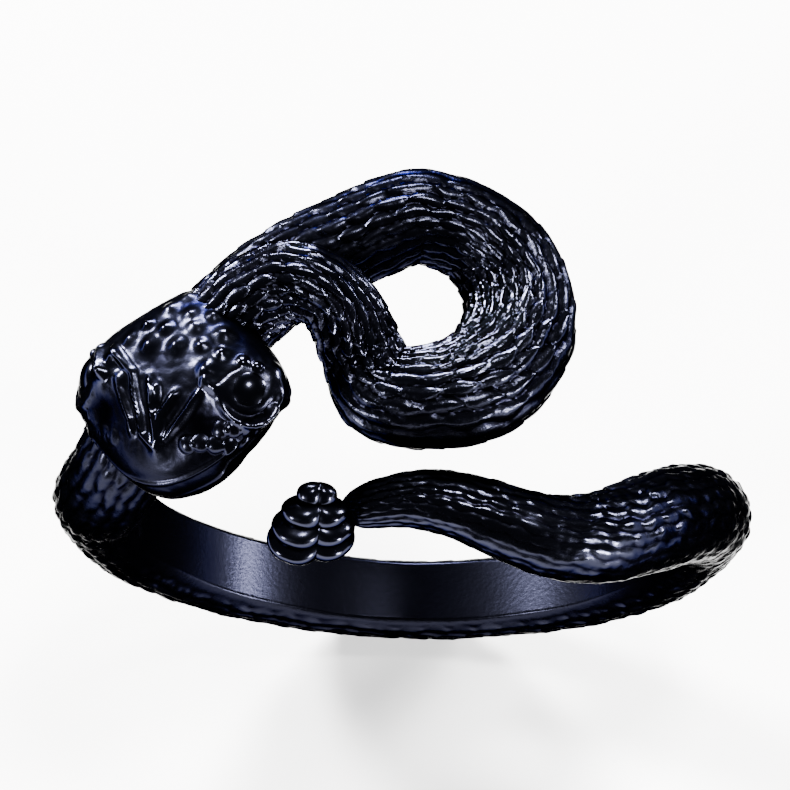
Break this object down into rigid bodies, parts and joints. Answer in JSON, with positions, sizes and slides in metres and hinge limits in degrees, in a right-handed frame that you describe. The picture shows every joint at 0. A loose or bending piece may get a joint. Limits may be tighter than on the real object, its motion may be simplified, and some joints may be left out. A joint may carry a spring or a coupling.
{
  "type": "finger ring",
  "caption": "Open black metal finger ring in the form of a rattlesnake, coiled on its face, with its head resting on one shoulder and its rattle on the other.",
  "frame": {"origin": "centre of the finger bore, on the bore's axis, in the middle plane of the shank's back", "axes": "+Y along the finger bore, away from the side the tail lies on; +Z from the bore's centre out through the ring's face; +X to the shoulder the tail comes from"},
  "size_m": [0.0251, 0.0144, 0.0267],
  "materials": {
    "black_plated_metal": "glossy black plating over a cast body, mirror-like on the high spots",
    "black_stone": "polished black stone, domed"
  },
  "bodies": {
    "shank": {"shank_back": "black_plated_metal"},
    "head_arm": {"left_shoulder": "black_plated_metal", "coil": "black_plated_metal", "neck": "black_plated_metal", "head": "black_plated_metal", "lower_jaw": "black_plated_metal", "left_eye": "black_stone", "right_eye": "black_stone"},
    "tail_arm": {"right_shoulder": "black_plated_metal", "tail": "black_plated_metal", "rattle": "black_plated_metal"}
  },
  "joints": [
    {"name": "left_bend", "type": "hinge", "parent": "shank", "child": "head_arm", "pos_m": [-0.00601, 0.00022, -0.00862], "axis": [0, -1, 0], "range_deg": [-3, 8]},
    {"name": "right_bend", "type": "hinge", "parent": "shank", "child": "tail_arm", "pos_m": [0.00601, -0.00024, -0.00862], "axis": [0, 1, 0], "range_deg": [-3, 8]}
  ]
}
